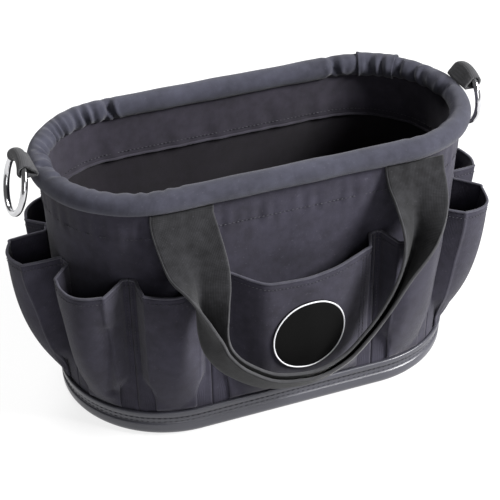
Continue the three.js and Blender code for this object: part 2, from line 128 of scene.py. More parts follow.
def wall_point(share, height, offset):
    """Points at these shares of the perimeter and heights, standing off the wall's middle."""
    share, height, offset = np.broadcast_arrays(share, height, offset)
    low, low_normal = outline(share, BASE)
    high, high_normal = outline(share, TOP)
    part = (height / RIM_HEIGHT)[..., None]
    normal = unit(low_normal * (1 - part) + high_normal * part)
    flat = low * (1 - part) + high * part + normal * offset[..., None]
    return np.concatenate([flat, height[..., None]], -1)


def smooth(value, low, high):
    """A soft step from 0 at low to 1 at high."""
    part = np.clip((value - low) / (high - low), 0.0, 1.0)
    return part * part * (3 - 2 * part)


WALL_LENGTH = perimeter_of(BASE)
print("round the wall:", round(WALL_LENGTH, 3), "m")

# %% [markdown]
# ## Cloth as grids
#
# A sewn panel is a grid of points: rows up the cloth and columns across it. The helper makes
# the mesh and gives it a UV map in metres, so that a weave keeps its thread size on every
# piece. Thickness is left to the Solidify modifier. Cloth is never even, so a sum of a few
# waves roughens it, and soft curves run through the corners of a folded section.

# %% Turn a grid of points into a cloth piece
def cloth_piece(name, grid, thickness, wrap=False, close=False):
    """A sheet through the grid's points, rows by columns, with its UV map in metres."""
    grid = np.asarray(grid, dtype=float)
    rows, columns = grid.shape[:2]
    spans = columns if wrap else columns - 1
    steps = rows if close else rows - 1
    wide = np.concatenate([grid, grid[:, :1]], 1) if wrap else grid
    tall = np.concatenate([grid, grid[:1]], 0) if close else grid
    across = np.linalg.norm(np.diff(wide, axis=1), axis=-1).mean(0)
    upward = np.linalg.norm(np.diff(tall, axis=0), axis=-1).mean(1)
    u = np.concatenate([[0.0], np.cumsum(across)])
    v = np.concatenate([[0.0], np.cumsum(upward)])
    faces, coords = [], []
    for i in range(steps):
        for j in range(spans):
            k, m = (j + 1) % columns, (i + 1) % rows
            faces.append((i * columns + j, i * columns + k, m * columns + k, m * columns + j))
            coords += [(u[j], v[i]), (u[j + 1], v[i]), (u[j + 1], v[i + 1]), (u[j], v[i + 1])]
    mesh = bpy.data.meshes.new(name)
    mesh.from_pydata(grid.reshape(-1, 3).tolist(), [], faces)
    mesh.uv_layers.new(name="cloth").data.foreach_set("uv", np.array(coords).ravel())
    mesh.polygons.foreach_set("use_smooth", [True] * len(mesh.polygons))
    piece = new_object(name, mesh)
    if thickness:
        solid = piece.modifiers.new("thickness", "SOLIDIFY")
        solid.thickness = thickness
        solid.offset = 0.0
        solid.use_even_offset = False
    return piece


def ripple(along, up, seed, lengths, amount):
    """A soft, repeatable unevenness: a few crossing waves of these lengths."""
    dice = np.random.default_rng(seed)
    total = np.zeros(np.broadcast(along, up).shape)
    for length in lengths:
        lean = dice.uniform(-0.35, 0.35)
        phase = dice.uniform(0, 2 * math.pi)
        total = total + np.sin(2 * math.pi * (along + lean * up) / length + phase)
    return amount * total / len(lengths)


def with_ends(points):
    """The points with one more at each end, in line with the last two there."""
    points = np.asarray(points, dtype=float)
    return np.concatenate([2 * points[:1] - points[1:2], points, 2 * points[-1:] - points[-2:-1]])


def between(before, start, end, after, w, pull):
    """Points at shares w of a smooth bend from start to end, and its directions there."""
    leave, arrive = (end - before) * pull, (after - start) * pull
    value = (2 * w**3 - 3 * w**2 + 1) * start + (w**3 - 2 * w**2 + w) * leave
    value = value + (3 * w**2 - 2 * w**3) * end + (w**3 - w**2) * arrive
    slope = (6 * w**2 - 6 * w) * (start - end) + (3 * w**2 - 4 * w + 1) * leave
    return value, slope + (3 * w**2 - 2 * w) * arrive


# %% [markdown]
# ## Canvas, webbing, plastic and metal
#
# The tote's canvas is a dark navy plain weave. Two crossing rows of threads make its bump, a
# coarse noise fades it unevenly and a fine one leaves pale lint. The threads read the UV map
# in metres, and the noise reads the object's own coordinates. The same recipe with other
# tones and thread sizes makes the hems, the rim's cover and the webbing, and a much darker
# copy for the wall's inner side, whose colour is painted shade for the inside of the bucket.

# %% Weave a cloth material
def connect(tree, node, links):
    """Plug each source into its socket of the node: another node's output, or a plain value."""
    for socket, source in links:
        if hasattr(source, "is_linked"):
            tree.links.new(source, node.inputs[socket])
        elif node.inputs[socket].type == "RGBA":
            node.inputs[socket].default_value = (*source, 1.0)
        else:
            node.inputs[socket].default_value = source


def add_node(tree, kind, links=(), **values):
    node = tree.nodes.new(kind)
    for key, value in values.items():
        setattr(node, key, value)
    connect(tree, node, links)
    return node


def step(tree, kind, links=(), **values):
    """The first output of a new node, which is all that most steps of a tree need."""
    return add_node(tree, kind, links, **values).outputs[0]


def maths(tree, operation, first, second=0.0, third=0.0):
    return step(tree, "ShaderNodeMath", [(0, first), (1, second), (2, third)], operation=operation)


def threads(tree, coordinate, pitch):
    """Rounded threads across one coordinate, from 0 in the gaps to 1 on top."""
    wave = maths(tree, "SINE", maths(tree, "MULTIPLY", coordinate, math.pi / pitch))
    return maths(tree, "MULTIPLY", wave, wave)


def new_material(name):
    material = bpy.data.materials.new(name)
    material.use_nodes = True
    shader = material.node_tree.nodes["Principled BSDF"]
    return material, material.node_tree, shader


def noise(tree, coordinates, scale, detail):
    links = [("Vector", coordinates), ("Scale", scale), ("Detail", detail)]
    return step(tree, "ShaderNodeTexNoise", links)


def blend(tree, factor, first, second):
    links = [(0, factor), (6, first), (7, second)]
    return add_node(tree, "ShaderNodeMix", links, data_type="RGBA").outputs[2]


CANVAS_PITCH, WEB_PITCH = (0.0008, 0.0009), (0.0013, 0.0011)
CLOTH_ROUGHNESS, CLOTH_SHEEN, CLOTH_SPECULAR = 0.9, 0.1, 0.15
LINT_TONE, LINT_LEVEL = (0.11, 0.11, 0.125), 0.70


def cloth_material(name, dark, light, pitch=CANVAS_PITCH, depth=0.00025, lint=0.14, heather=0.7):
    """A weave from dark gaps to light threads, with pale lint and a mottled heather."""
    material, tree, shader = new_material(name)
    uv = step(tree, "ShaderNodeUVMap", uv_map="cloth")
    place = add_node(tree, "ShaderNodeTexCoord").outputs["Object"]
    split = add_node(tree, "ShaderNodeSeparateXYZ", [("Vector", uv)])
    warp = threads(tree, split.outputs[0], pitch[0])
    weft = threads(tree, split.outputs[1], pitch[1])
    weave = maths(tree, "MULTIPLY", maths(tree, "ADD", warp, weft), 0.5)
    fade = noise(tree, place, 18.0, 3.0)
    mottle = noise(tree, place, 130.0, 4.0)
    fibre = noise(tree, place, 520.0, 2.0)
    mottled = maths(tree, "MULTIPLY_ADD", mottle, heather, -0.2 - heather / 2)
    tone = maths(tree, "MULTIPLY_ADD", fade, 0.8, mottled)
    body = blend(tree, maths(tree, "MULTIPLY_ADD", weave, 0.4, tone), dark, light)
    speck = maths(tree, "GREATER_THAN", fibre, LINT_LEVEL)
    body = blend(tree, maths(tree, "MULTIPLY", speck, lint), body, LINT_TONE)
    wear = maths(tree, "MULTIPLY_ADD", fade, 0.16, CLOTH_ROUGHNESS - 0.08)
    crumple = noise(tree, place, 55.0, 4.0)
    bump = [("Strength", 0.35), ("Distance", 0.0012), ("Height", crumple)]
    soft = step(tree, "ShaderNodeBump", bump)
    bump = [("Strength", 0.6), ("Distance", depth), ("Height", weave), ("Normal", soft)]
    connect(tree, shader, [
        ("Base Color", body),
        ("Roughness", wear),
        ("Normal", step(tree, "ShaderNodeBump", bump)),
        ("Sheen Weight", CLOTH_SHEEN),
        ("Sheen Roughness", 0.5),
        ("Specular IOR Level", CLOTH_SPECULAR),
    ])
    return material


canvas = cloth_material("canvas", (0.0095, 0.0084, 0.0130), (0.0375, 0.0352, 0.0540))
rim_canvas = cloth_material("rim_canvas", (0.017, 0.017, 0.024), (0.057, 0.058, 0.080))
facing_canvas = cloth_material(
    "facing_canvas", (0.010, 0.0088, 0.0125), (0.034, 0.030, 0.044), lint=0.0)
# A much darker copy of the canvas for the wall's inner side: painted shade inside the bucket.
inner_canvas_painted_shade = cloth_material(
    "inner_canvas_painted_shade", (0.0035, 0.0028, 0.0040), (0.012, 0.0095, 0.015), lint=0.0)
# A much paler canvas for the pocket bindings: a painted highlight along their rolled edges.
binding_painted_highlight = cloth_material(
    "binding_painted_highlight", (0.034, 0.033, 0.043), (0.095, 0.093, 0.118), lint=0.0)
hem_canvas = cloth_material(
    "hem_canvas", (0.020, 0.018, 0.024), (0.052, 0.049, 0.066), lint=0.0)
webbing = cloth_material(
    "webbing", (0.0045, 0.0045, 0.005), (0.0235, 0.0235, 0.026), WEB_PITCH, lint=0.1, heather=1.3)
# Paler grey webbing for the ring tabs, also laid on the handles' selvedges as a painted highlight.
tab_webbing_selvedge_highlight = cloth_material(
    "tab_webbing_selvedge_highlight", (0.024, 0.024, 0.026), (0.070, 0.070, 0.074), WEB_PITCH, depth=0.0004)

# %% [markdown]
# The tray is moulded plastic with a fine grain, thread is round and slightly shiny, the patch
# is embroidered, and the rings are plated wire. These have no UV map to follow, so their
# grain reads the object's own coordinates.

# %% Mix the hard finishes
def grained_material(name, dark, light, roughness, grain, depth, metallic=0.0, specular=0.5):
    """A hard finish between two tones, whose fine grain roughens and dents it."""
    material, tree, shader = new_material(name)
    place = add_node(tree, "ShaderNodeTexCoord").outputs["Object"]
    mottle = noise(tree, place, 25.0, 4.0)
    fine = noise(tree, place, grain, 3.0)
    bump = [("Strength", 0.5), ("Distance", depth), ("Height", fine)]
    connect(tree, shader, [
        ("Base Color", blend(tree, mottle, dark, light)),
        ("Roughness", maths(tree, "MULTIPLY_ADD", fine, 0.16, roughness - 0.08)),
        ("Normal", step(tree, "ShaderNodeBump", bump)),
        ("Metallic", metallic),
        ("Specular IOR Level", specular),
    ])
    return material


tray_plastic = grained_material(
    "tray_plastic", (0.030, 0.030, 0.038), (0.048, 0.048, 0.060), 0.36, 900.0, 0.00012)
thread = grained_material(
    "thread", (0.008, 0.008, 0.011), (0.022, 0.022, 0.030), 0.6, 1500.0, 0.0001)
pale_thread = grained_material(
    "pale_thread", (0.50, 0.50, 0.52), (0.72, 0.72, 0.74), 0.7, 1500.0, 0.0001)
patch_black = grained_material(
    "patch_black", (0.0006, 0.0006, 0.0006), (0.002, 0.002, 0.002), 0.85, 1200.0, 0.0002, specular=0.1)
ring_metal = grained_material(
    "ring_metal", (0.46, 0.46, 0.47), (0.68, 0.68, 0.70), 0.14, 350.0, 0.00005, metallic=1.0)

# %% [markdown]
# ## Two Geometry Nodes trees for what follows a path
#
# Hems, bindings and stitch rows all follow a path over the cloth. A path is a mesh of edges
# that carries the cloth's outward direction as an attribute called out. The first tree
# sweeps an oval section along it, for rolled edges and bindings. The second lays stitches
# along it, each turned with the path and pressed against the cloth.

# %% Build the trees
def new_tree(name, inputs):
    """An empty tree with a path, these inputs and a geometry to give back."""
    tree = bpy.data.node_groups.new(name, "GeometryNodeTree")
    tree.interface.new_socket("Path", in_out="INPUT", socket_type="NodeSocketGeometry")
    for label, kind, value in inputs:
        socket = tree.interface.new_socket(label, in_out="INPUT", socket_type=kind)
        if value is not None:
            socket.default_value = value
    tree.interface.new_socket("Geometry", in_out="OUTPUT", socket_type="NodeSocketGeometry")
    given = tree.nodes.new("NodeGroupInput").outputs
    result = tree.nodes.new("NodeGroupOutput").inputs[0]
    return tree, given, result


def out_direction(tree):
    return step(tree, "GeometryNodeInputNamedAttribute", [(0, "out")], data_type="FLOAT_VECTOR")


def finish_tree(tree, result, geometry, material):
    """Shade the geometry smooth, give it its material and hand it out."""
    shade = step(tree, "GeometryNodeSetShadeSmooth", [("Geometry", geometry)])
    links = [("Geometry", shade), ("Material", material)]
    tree.links.new(step(tree, "GeometryNodeSetMaterial", links), result)


edge_tree, given, result = new_tree("Rolled edge", [
    ("Width", "NodeSocketFloat", 0.003),
    ("Height", "NodeSocketFloat", 0.003),
    ("Sides", "NodeSocketInt", 8),
    ("Cloth", "NodeSocketMaterial", None),
])
node = partial(step, edge_tree)
line = node("GeometryNodeMeshToCurve", [("Mesh", given["Path"])])
links = [("Curve", line), ("Normal", out_direction(edge_tree))]
turned = node("GeometryNodeSetCurveNormal", links, mode="FREE")
links = [("Resolution", given["Sides"]), ("Radius", 0.5)]
circle = node("GeometryNodeCurvePrimitiveCircle", links)
links = [(0, given["Width"]), (1, given["Height"]), (2, 1.0)]
size = node("ShaderNodeCombineXYZ", links)
links = [("Geometry", circle), ("Scale", size)]
oval = node("GeometryNodeTransform", links)
links = [("Curve", turned), ("Profile Curve", oval), ("Fill Caps", True)]
swept = node("GeometryNodeCurveToMesh", links)
whole = node("GeometryNodeRealizeInstances", [("Geometry", swept)])
finish_tree(edge_tree, result, whole, given["Cloth"])

stitch_tree, given, result = new_tree("Stitch row", [
    ("Pitch", "NodeSocketFloat", 0.003),
    ("Length", "NodeSocketFloat", 0.0022),
    ("Width", "NodeSocketFloat", 0.0008),
    ("Lift", "NodeSocketFloat", 0.0003),
    ("Unevenness", "NodeSocketFloat", 0.12),
    ("Seed", "NodeSocketInt", 7),
    ("Thread", "NodeSocketMaterial", None),
])
node = partial(step, stitch_tree)
line = node("GeometryNodeMeshToCurve", [("Mesh", given["Path"])])
links = [("Curve", line), ("Length", given["Pitch"])]
spaced = node("GeometryNodeResampleCurve", links, mode="LENGTH")
away = out_direction(stitch_tree)
links = [(0, away), ("Scale", given["Lift"])]
lift = node("ShaderNodeVectorMath", links, operation="SCALE")
links = [("Geometry", spaced), ("Offset", lift)]
raised = node("GeometryNodeSetPosition", links)
tangent = node("GeometryNodeInputTangent")
links = [(0, tangent), (1, away)]
turn = node("FunctionNodeAxesToRotation", links, primary_axis="X", secondary_axis="Z")
links = [(0, 1.0), (1, given["Unevenness"])]
low = node("ShaderNodeMath", links, operation="SUBTRACT")
high = node("ShaderNodeMath", links, operation="ADD")
links = [(2, low), (3, high), ("Seed", given["Seed"])]
chance = add_node(stitch_tree, "FunctionNodeRandomValue", links, data_type="FLOAT").outputs[1]
links = [("Segments", 6), ("Rings", 4), ("Radius", 0.5)]
ball = node("GeometryNodeMeshUVSphere", links)
size = node("ShaderNodeCombineXYZ", [
    (0, given["Length"]),
    (1, given["Width"]),
    (2, given["Width"]),
])
links = [("Geometry", ball), ("Scale", size)]
bead = node("GeometryNodeTransform", links)
placed = node("GeometryNodeInstanceOnPoints", [
    ("Points", raised),
    ("Instance", bead),
    ("Rotation", turn),
    ("Scale", chance),
])
whole = node("GeometryNodeRealizeInstances", [("Geometry", placed)])
finish_tree(stitch_tree, result, whole, given["Thread"])


# %% Lay a tree along paths
def path_piece(name, paths, tree, **settings):
    """A plain mesh made by a tree along paths: each is (points, out directions, closed)."""
    points, outs, edges = [], [], []
    for places, directions, closed in paths:
        first = len(points)
        points += np.asarray(places).tolist()
        outs += np.asarray(directions).tolist()
        last = len(points) - 1
        edges += [(i, i + 1) for i in range(first, last)]
        if closed:
            edges.append((last, first))
    mesh = bpy.data.meshes.new(name + "_path")
    mesh.from_pydata(points, edges, [])
    attribute = mesh.attributes.new("out", "FLOAT_VECTOR", "POINT")
    attribute.data.foreach_set("vector", np.array(outs, dtype=float).ravel())
    piece = new_object(name, mesh)
    modifier = piece.modifiers.new("path", "NODES")
    modifier.node_group = tree
    inputs = [item for item in tree.interface.items_tree if item.in_out == "INPUT"]
    sockets = {item.name: item.identifier for item in inputs}
    for label, value in settings.items():
        modifier[sockets[label.replace("_", " ").capitalize()]] = value
    bpy.context.view_layer.update()
    shown = piece.evaluated_get(bpy.context.evaluated_depsgraph_get())
    result_mesh = bpy.data.meshes.new_from_object(shown)
    piece.modifiers.clear()
    piece.data = result_mesh
    piece.data.name = name
    print(name, len(piece.data.polygons), "faces")
    return piece


def outward(points, towards):
    """Unit directions square to a path, as near as can be to the given ones."""
    tangent = unit(np.gradient(points, axis=0))
    return unit(towards - tangent * (towards * tangent).sum(-1, keepdims=True))


# %% [markdown]
# ## Dressing a node
#
# Each finished piece takes its material, rides on a body of the part, and hides the solids of
# the part that it replaces. All that is laid along paths rides on the tote's own body and
# hides no solid.

# %% Dress a node
def dress(piece, body, nodes=(), material=None):
    """Give a piece its material and its body, and hide the solids of the part that it replaces."""
    if material is not None:
        piece.data.materials.clear()
        piece.data.materials.append(material)
    if body is not None:
        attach(piece, body)
    if nodes:
        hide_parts(*nodes)


def trim(name, slot, paths, tree, **settings):
    dress(path_piece(name, paths, tree, **settings), "tote")


# %% [markdown]
# ## The moulded tray
#
# The real tray is one moulding: a floor, a rounded bottom edge, a channel for two rows of
# stitches and a beaded lip. All of it is one section swept round the outline, so the piece
# is a grid of rows that follow the section and columns that follow the outline.

# %% Mould the tray
FLOOR_THICKNESS, EDGE_RADIUS, CHANNEL_DEPTH = 0.003, 0.008, 0.0012
CHANNEL = LIP_OUTSIDE - CHANNEL_DEPTH
TURN = 480
turn_shares = (np.arange(TURN) / TURN)[None, :]


def tray_section():
    """Stand-off from the wall and height, from the floor's underside out and up to the inside."""
    rows = []
    for step in range(9):
        angle = math.radians(90 - 90 * step / 8)
        off = LIP_OUTSIDE - EDGE_RADIUS * (1 - math.cos(angle))
        rows.append((off, EDGE_RADIUS * (1 - math.sin(angle))))
    rows += [(LIP_OUTSIDE, 0.0105), (LIP_OUTSIDE, 0.0124), (LIP_OUTSIDE - 0.0004, 0.0129)]
    rows += [(CHANNEL, 0.0132), (CHANNEL, 0.0160), (CHANNEL, 0.0194)]
    rows += [(LIP_OUTSIDE - 0.0004, 0.0197), (LIP_OUTSIDE + 0.0003, 0.0203)]
    rows += [(LIP_OUTSIDE + 0.0004, 0.0240), (LIP_OUTSIDE, 0.0247), (LIP_OUTSIDE - 0.0006, TRAY_HEIGHT)]
    rows += [(LIP_INSIDE + 0.0004, TRAY_HEIGHT), (LIP_INSIDE, 0.0246), (LIP_INSIDE, 0.0060)]
    return rows + [(LIP_INSIDE - 0.0008, 0.0037), (LIP_INSIDE - 0.0025, FLOOR_THICKNESS)]


section = np.array(tray_section())
tray_grid = wall_point(turn_shares, section[:, 1:], section[:, :1])
tray = cloth_piece("moulded_tray", tray_grid, 0.0, wrap=True)
print("tray rows:", len(section))


def close_floor(piece, row, height, flipped):
    """Fill the inside of one border row with a fan of flat faces."""
    count = len(row)
    points = np.array([v.co for v in piece.data.vertices])
    first = int(np.argmin(np.linalg.norm(points - row[0], axis=1)))
    centre = len(points)
    faces = [tuple(p.vertices) for p in piece.data.polygons]
    uv = np.zeros(len(piece.data.loops) * 2)
    piece.data.uv_layers["cloth"].data.foreach_get("uv", uv)
    uv = uv.reshape(-1, 2).tolist()
    points = np.vstack([points, [0.0, 0.0, height]])
    for j in range(count):
        k = (j + 1) % count
        face = (first + k, first + j, centre) if flipped else (first + j, first + k, centre)
        faces.append(face)
        uv += [(points[i][0], points[i][1]) for i in face]
    fresh = bpy.data.meshes.new(piece.name)
    fresh.from_pydata(points.tolist(), [], faces)
    fresh.uv_layers.new(name="cloth").data.foreach_set("uv", np.array(uv).ravel())
    fresh.polygons.foreach_set("use_smooth", [True] * len(fresh.polygons))
    piece.data = fresh


close_floor(tray, tray_grid[0], 0.0, True)
close_floor(tray, tray_grid[-1], FLOOR_THICKNESS, False)
dress(tray, "tote", ["base_tray"], tray_plastic)


def round_path(height, offset, count=TURN):
    """A closed path round the wall at one height and stand-off."""
    share = np.arange(count) / count
    points = wall_point(share, height, offset)
    towards = wall_point(share, height, offset + 0.001) - points
    return points, outward(points, towards), True


tray_rows = [round_path(height, CHANNEL) for height in (0.0181, 0.0148)]
trim("tray_stitches", "tray_plastic", tray_rows, stitch_tree,
     pitch=0.0048, length=0.0032, width=0.0008, lift=0.0001, thread=thread)

# %% [markdown]
# ## The canvas wall and the facing
#
# The wall is one band of canvas. It puckers a little along the stitch row below the rim, and
# hangs in long soft waves below that. Its inner side takes a much darker copy of the canvas,
# painted shade for the inside of the bucket. The facing hangs slack inside. Both run up into
# the roll, so no light comes through between them.

# %% Hang the wall and its facing
WALL_FOOT, WALL_TOP, FACING_HEM = 0.0033, 0.2195, 0.178
WALL_STITCHES, FACING_STITCHES = 0.195, 0.1835
low_part, high_part = np.linspace(WALL_FOOT, 0.150, 24), np.linspace(0.152, WALL_TOP, 36)
wall_heights = np.concatenate([low_part, high_part])[:, None]
run = turn_shares * WALL_LENGTH
pucker = smooth(wall_heights, 0.185, 0.1945) * (1 - smooth(wall_heights, 0.196, 0.222))
waves = ripple(run, wall_heights, 3, [0.11, 0.067, 0.23], 0.0010) * smooth(wall_heights, 0.02, 0.09)
waves = waves * (1 - smooth(wall_heights, 0.19, 0.213))
waves = waves + pucker * ripple(run, wall_heights * 0, 5, [0.0105, 0.0153, 0.031], 0.0009)
wall_grid = wall_point(turn_shares, wall_heights, waves)
wall = cloth_piece("canvas_wall", wall_grid, WALL_CLOTH, wrap=True)
dress(wall, "tote", ["body_wall"], canvas)
# The wall's inner side takes the darker canvas, painted shade for the inside of the bucket.
wall.data.materials.append(inner_canvas_painted_shade)
wall.modifiers["thickness"].material_offset = 1

facing_heights = np.linspace(FACING_HEM, WALL_TOP, 23)[:, None]
facing_offset = -WALL_CLOTH / 2 - GAP - FACING_CLOTH / 2
slack = ripple(run, facing_heights, 11, [0.032, 0.051, 0.019], 0.0008) - 0.0008
slack = slack * (1 - smooth(facing_heights, 0.185, 0.212))
facing_grid = wall_point(turn_shares, facing_heights, facing_offset + slack)
facing = cloth_piece("inside_facing", facing_grid, FACING_CLOTH, wrap=True)
dress(facing, "tote", ["inner_facing"], facing_canvas)

# %% [markdown]
# ## The padded rim
#
# A foam core runs in a tight canvas cover. Round the ends the cover is too long for the inner
# side of the bend, so it gathers there in uneven folds, while the outside stays smooth. A few
# faint ones run on along the straights. Each fold is a narrow valley between two soft ridges.
# Its place, depth, width and lean come from dice with a fixed seed, because even folds would
# look machined.

# %% Stuff the rim
ROLL_TURN, ROLL_SIDES = 960, 48
roll_shares = (np.arange(ROLL_TURN) / ROLL_TURN)[:, None]
roll_angles = (2 * math.pi * np.arange(ROLL_SIDES) / ROLL_SIDES)[None, :]
FOLD_DICE = np.random.default_rng(21)


def scattered_folds(first, last, count, depth, width, skew):
    """Valleys at uneven places between two shares: (share, depth, half width, lean, reach)."""
    places = np.linspace(first, last, count)
    places = places + FOLD_DICE.uniform(-0.35, 0.35, count) * (last - first) / count
    return [(place, depth * FOLD_DICE.uniform(0.45, 1.0), width * FOLD_DICE.uniform(0.7, 1.4),
             skew * FOLD_DICE.uniform(-1.0, 1.0), FOLD_DICE.uniform(1.3, 3.2)) for place in places]


FOLD_GROUPS = [
    (0.605, 0.770, 15, 0.0052, 0.0031, 0.008),
    (0.24, 0.385, 14, 0.0040, 0.0034, 0.008),
    (0.765, 0.90, 14, 0.0012, 0.0034, 0.003),
    (0.12, 0.235, 8, 0.0008, 0.0050, 0.003),
]
FOLDS = [fold for group in FOLD_GROUPS for fold in scattered_folds(*group)]


def roll_radius(share, angle):
    """The roll's radius at a share of the rim and an angle up from its outer side."""
    run = share * perimeter_of(TOP)
    inside = 0.5 - 0.5 * np.cos(angle + 0.35)
    gather = np.zeros(np.broadcast(share, angle).shape)
    for place, depth, width, lean, reach in FOLDS:
        away = (run - place * perimeter_of(TOP) + lean * np.sin(angle - 0.9)) / width
        valley = np.exp(-np.abs(away) ** 1.25) - 0.35 * np.exp(-((np.abs(away) - 1.7) / 0.8) ** 2)
        gather = gather + depth * valley * inside ** reach
    uneven = ripple(run, angle * 0.004, 8, [0.071, 0.044, 0.12], 0.00035)
    return ROLL_RADIUS - 0.0003 - gather + uneven


def roll_point(share, angle, grow=0.0):
    """Points of the roll's surface, or of one that stands off it by grow."""
    share, angle = np.broadcast_arrays(share, angle)
    points, normals = outline(share, TOP)
    radius = roll_radius(share, angle) + grow
    flat = points + normals * (radius * np.cos(angle))[..., None]
    height = RIM_HEIGHT + radius * np.sin(angle)
    return np.concatenate([flat, height[..., None]], -1)


roll = cloth_piece("padded_rim", roll_point(roll_shares, -roll_angles), 0.0, wrap=True, close=True)
dress(roll, "tote", ["rim_roll"], rim_canvas)

# %% [markdown]
# The cover's end overlaps its start at the back right, as a short sleeve with a raised fold.

# %% Wrap the sleeve
SLEEVE_PLACE, SLEEVE_SPAN, SLEEVE_ROWS, SLEEVE_CLOTH = 0.148, (-0.0120, 0.0225), 40, 0.0011
straight = TOP[0] - TOP[1]
sleeve_middle = straight + TOP[1] * math.asin((SLEEVE_PLACE - straight) / TOP[1])
sleeve_run = np.linspace(*SLEEVE_SPAN, SLEEVE_ROWS)[:, None] - sleeve_middle
sleeve_share = 0.5 + sleeve_run / perimeter_of(TOP)
sleeve_angle = np.radians(np.linspace(242, -62, 56))[None, :]
ends = smooth(np.abs(np.linspace(-1, 1, SLEEVE_ROWS)), 0.82, 0.97)[:, None]
sleeve_grid = roll_point(sleeve_share, sleeve_angle, 0.0006 + 0.0006 * ends)
sleeve = cloth_piece("rim_sleeve", sleeve_grid, SLEEVE_CLOTH)
dress(sleeve, "tote", ["rim_seam_sleeve"], rim_canvas)

# %% [markdown]
# ## The bellows pockets
#
# One long band of canvas is sewn to the wall at twelve dividers. Between two of them it is
# wider than the wall, so it bulges out into a pocket. At the tray the extra width is pressed
# into a knife pleat on each side: the cloth runs under the face, turns back, and turns again
# at a sharp fold edge. Higher up the pleat opens and becomes the pocket's side. So a pocket
# is made from two cross sections with the same points, the pressed one and the open one, and
# each row of the grid blends them by its height.
#
# Each form has its share of the perimeter, how far it bulges (full), how far its top edge
# dips, how square each front corner stands, and how low its belly starts. A square below 0.2
# makes a ramp in place of a corner. Two pockets hang flatter, and two have creases in them.

# %% Cut the pockets
POCKET_HEIGHT, POCKET_DEPTH, PLEAT, SEAM = 0.158, 0.030, 0.015, 0.005
PLEAT_LIFT, POCKET_FOOT, POCKET_THICKNESS = 0.0032, TRAY_HEIGHT + GAP, 0.0013
FORMS = {
    "centre": dict(share=0.166, full=0.87, dip=0.07, square=(0.08, 0.58), belly=0.16),
    "side": dict(share=0.070, full=0.73, dip=0.03, square=(0.84, 0.78), belly=0.42),
    "corner": dict(share=0.068, full=1.00, dip=0.03, square=(0.66, 0.78), belly=0.38),
    "end": dict(share=0.058, full=1.15, dip=0.02, square=(0.85, 0.85), belly=0.38),
}
ROUND = [
    ("pocket_front", "centre"), ("pocket_front_right", "side"), ("pocket_corner_front_right", "corner"),
    ("pocket_right", "end"), ("pocket_corner_back_right", "corner"), ("pocket_back_right", "side"),
    ("pocket_back", "centre"), ("pocket_back_left", "side"), ("pocket_corner_back_left", "corner"),
    ("pocket_left", "end"), ("pocket_corner_front_left", "corner"), ("pocket_front_left", "side"),
]
FLATTER = {"pocket_right": 0.78, "pocket_corner_back_left": 0.78}
# Creases run between two places (along, height) with a depth and a half width.
CREASES = {
    "pocket_corner_front_right": [
        ((0.044, 0.086), (0.020, 0.036), 0.0060, 0.0042),
        ((0.050, 0.070), (0.036, 0.040), 0.0045, 0.0034),
    ],
    "pocket_corner_front_left": [((0.047, 0.120), (0.041, 0.045), 0.0040, 0.0040)],
}
# The pocket's edge, from the divider to the face: along the wall and off it. The opened one
# counts in shares of the side's width and depth after its first two corners.
PRESSED = [(0.0002, 0.0), (SEAM, 0.0), (PLEAT + 0.005, 0.0002), (PLEAT + 0.006, 0.0008),
           (PLEAT + 0.005, 0.0015), (PLEAT + 0.0008, 0.0018), (PLEAT, 0.0025), (PLEAT + 0.0012, 0.0032)]
OPENED = [(0.0002, 0.0), (SEAM, 0.0), (0.25, 0.22), (0.5, 0.46),
          (0.75, 0.72), (0.92, 0.90), (1.0, 1.0), (1.09, 1.04)]
STEPS = [2, 6, 2, 2, 4, 3, 3]
EDGE_COLUMNS, FACE_COLUMNS, FOOT_ROWS = sum(STEPS) + 1, 17, 4


def refine(corners, steps):
    """Subdivide a polyline by the given steps for each of its parts, on a rounded curve."""
    padded = with_ends(corners)
    points = []
    for i, count in enumerate(steps):
        points.append(between(*padded[i:i + 4], (np.arange(count) / count)[:, None], 0.3)[0])
    return np.concatenate(points + [padded[-2:-1]])


def half_pocket(form, width, rise, side):
    """One half of a pocket's row, from its divider to its middle: along the wall and off it."""
    square, ramp = form["square"][side], form["square"][side] < 0.2
    square = square * (0.82 + 0.18 * float(smooth(np.array(rise), 0.55, 0.95)))
    full = form["full"] * POCKET_DEPTH * (1 - (1 - rise) ** (1 / form["belly"]))
    lift = float(smooth(np.array(rise), 0.0, 0.03))
    opening = float(smooth(np.array(rise), 0.02, 0.30))
    corner = max(full * square, PLEAT_LIFT * lift)
    narrow = (PLEAT - SEAM) * (1 - 0.35 * opening)
    opened = [p if i < 2 else (SEAM + narrow * p[0], corner * p[1]) for i, p in enumerate(OPENED)]
    opened = refine(opened, STEPS)
    opened[:, 0] = np.minimum(opened[:, 0], PLEAT + 0.0012)
    edge = refine(PRESSED, STEPS) * np.array([1.0, lift]) * (1 - opening) + opened * opening
    part = np.arange(1, FACE_COLUMNS + 1) / FACE_COLUMNS
    start = edge[-1]
    across = start[0] + (width / 2 - start[0]) * part
    swell = smooth(part, -0.05, 0.52) if ramp else np.sin(part * math.pi / 2)
    face = full * (square + (1 - square) * swell)
    face = np.maximum(face, start[1] + (full * square - start[1]) * part)
    return np.concatenate([edge, np.stack([across, face], -1)])


def pocket_rows(form, width, rises):
    """Along the wall and off it, for every row of a pocket's grid."""
    rows = []
    for rise in rises:
        left, right = (half_pocket(form, width, rise, side) for side in (0, 1))
        mirrored = right[:-1][::-1] * np.array([-1.0, 1.0]) + np.array([width, 0.0])
        rows.append(np.concatenate([left, mirrored]))
    rows = np.array(rows)
    return rows[..., 0], rows[..., 1]


